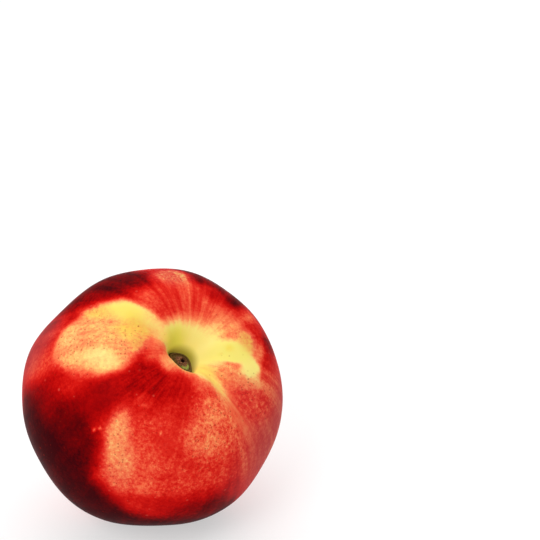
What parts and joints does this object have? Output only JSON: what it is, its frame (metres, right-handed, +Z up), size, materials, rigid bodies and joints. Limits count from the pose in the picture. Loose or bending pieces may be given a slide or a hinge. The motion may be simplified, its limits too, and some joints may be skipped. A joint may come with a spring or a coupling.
{
  "type": "nectarine",
  "caption": "Whole ripe nectarine with red and yellow skin, a deep stem hollow with its corky scar, and a suture furrow; rests tilted on a small flat spot.",
  "frame": {"origin": "centre of the small flat spot on the underside that the fruit rests on", "axes": "+Z up; the stem hollow faces up and leans towards -Y, and a little towards +X; the suture runs from the hollow down towards +X and -Y"},
  "size_m": [0.0699, 0.0687, 0.0696],
  "materials": {
    "skin": "satin"
  },
  "bodies": {
    "root": {"nectarine": "skin"}
  },
  "joints": []
}
